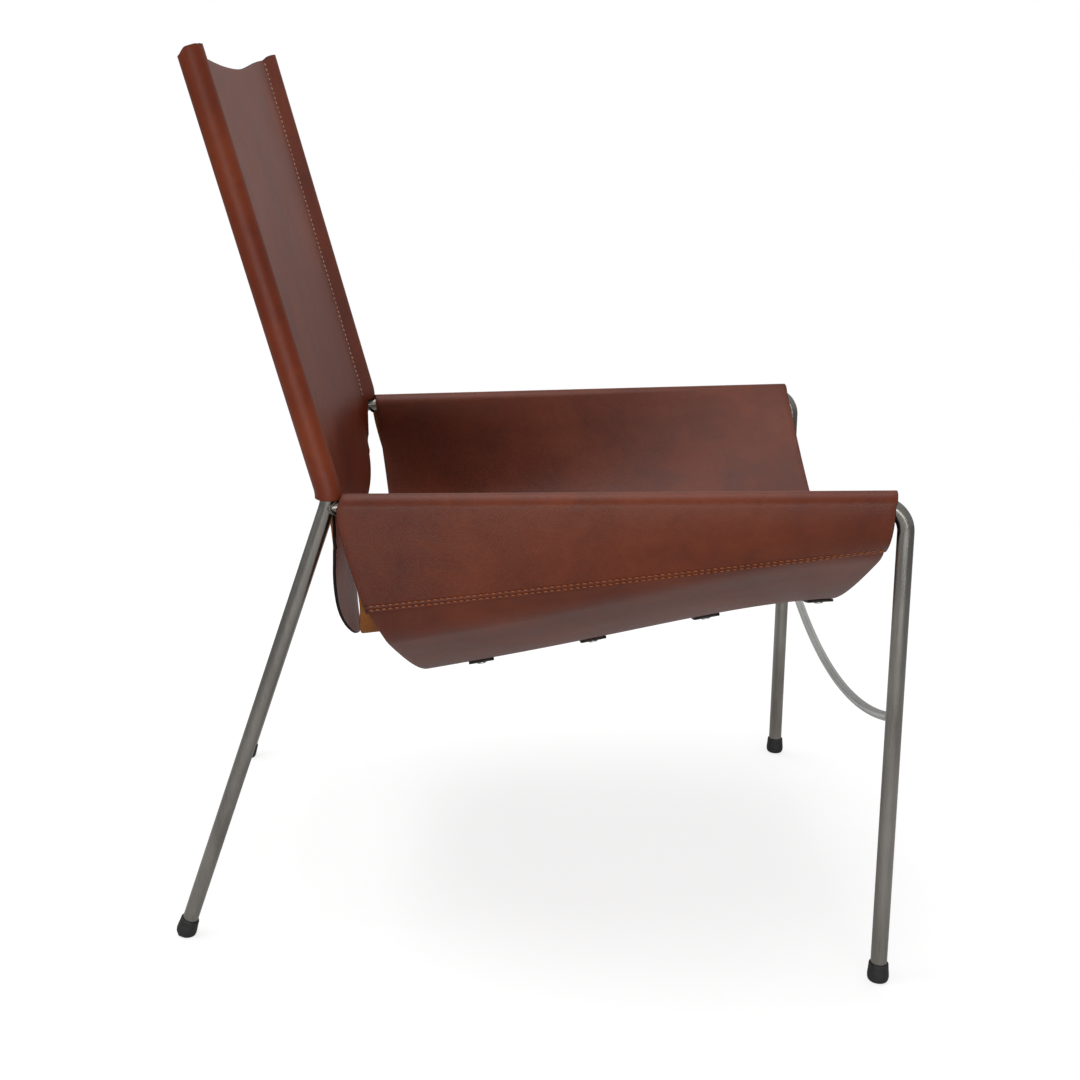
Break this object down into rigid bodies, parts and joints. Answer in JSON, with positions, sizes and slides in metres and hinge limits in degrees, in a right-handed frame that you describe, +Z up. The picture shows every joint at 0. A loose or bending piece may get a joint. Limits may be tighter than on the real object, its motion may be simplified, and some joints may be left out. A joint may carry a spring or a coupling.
{
  "type": "sling lounge chair",
  "caption": "Low lounge chair with a bent steel tube frame, a leather back with sleeves over the uprights and a deep leather seat sling laid over the arm rails.",
  "frame": {"origin": "the middle of the outer box's bottom face, on the floor", "axes": "+Z up, the sitter faces -Y, +X to the sitter's left"},
  "size_m": [0.6096, 0.721, 0.9069],
  "materials": {
    "leather": "smooth waxed red-brown hide",
    "strap_leather": "black strap",
    "tube_steel": "raw drawn tube, clear coated",
    "rod_steel": "bright drawn rod",
    "rubber": "matt black",
    "orange_thread": "waxed thread",
    "tan_thread": "waxed thread"
  },
  "bodies": {
    "root": {"leg_and_arm_tube_left": "tube_steel", "back_and_rear_leg_tube_left": "tube_steel", "rail_weld_bead_left": "tube_steel", "leg_and_arm_tube_right": "tube_steel", "back_and_rear_leg_tube_right": "tube_steel", "rail_weld_bead_right": "tube_steel", "front_brace_rod": "rod_steel", "front_brace_weld_bead_right": "tube_steel", "front_brace_weld_bead_left": "tube_steel", "rear_brace_rod": "rod_steel", "rear_brace_weld_bead_right": "tube_steel", "rear_brace_weld_bead_left": "tube_steel", "front_foot_left": "rubber", "rear_foot_left": "rubber", "back_tube_plug_left": "rubber", "front_foot_right": "rubber", "rear_foot_right": "rubber", "back_tube_plug_right": "rubber", "back_hide": "leather", "back_stitching_left": "tan_thread", "back_stitching_right": "tan_thread", "seat_hide": "leather", "belly_panel_left": "leather", "belly_panel_right": "leather", "seam_stitching_lower_left": "orange_thread", "seam_stitching_upper_left": "orange_thread", "seam_stitching_lower_right": "orange_thread", "seam_stitching_upper_right": "orange_thread", "front_cross_strap": "strap_leather", "second_cross_strap": "strap_leather", "third_cross_strap": "strap_leather", "rear_cross_strap": "strap_leather", "front_screw_post_left": "tube_steel", "front_screw_post_right": "tube_steel", "second_screw_post_left": "tube_steel", "second_screw_post_right": "tube_steel", "third_screw_post_left": "tube_steel", "third_screw_post_right": "tube_steel", "rear_screw_post_left": "tube_steel", "rear_screw_post_right": "tube_steel"}
  },
  "joints": []
}
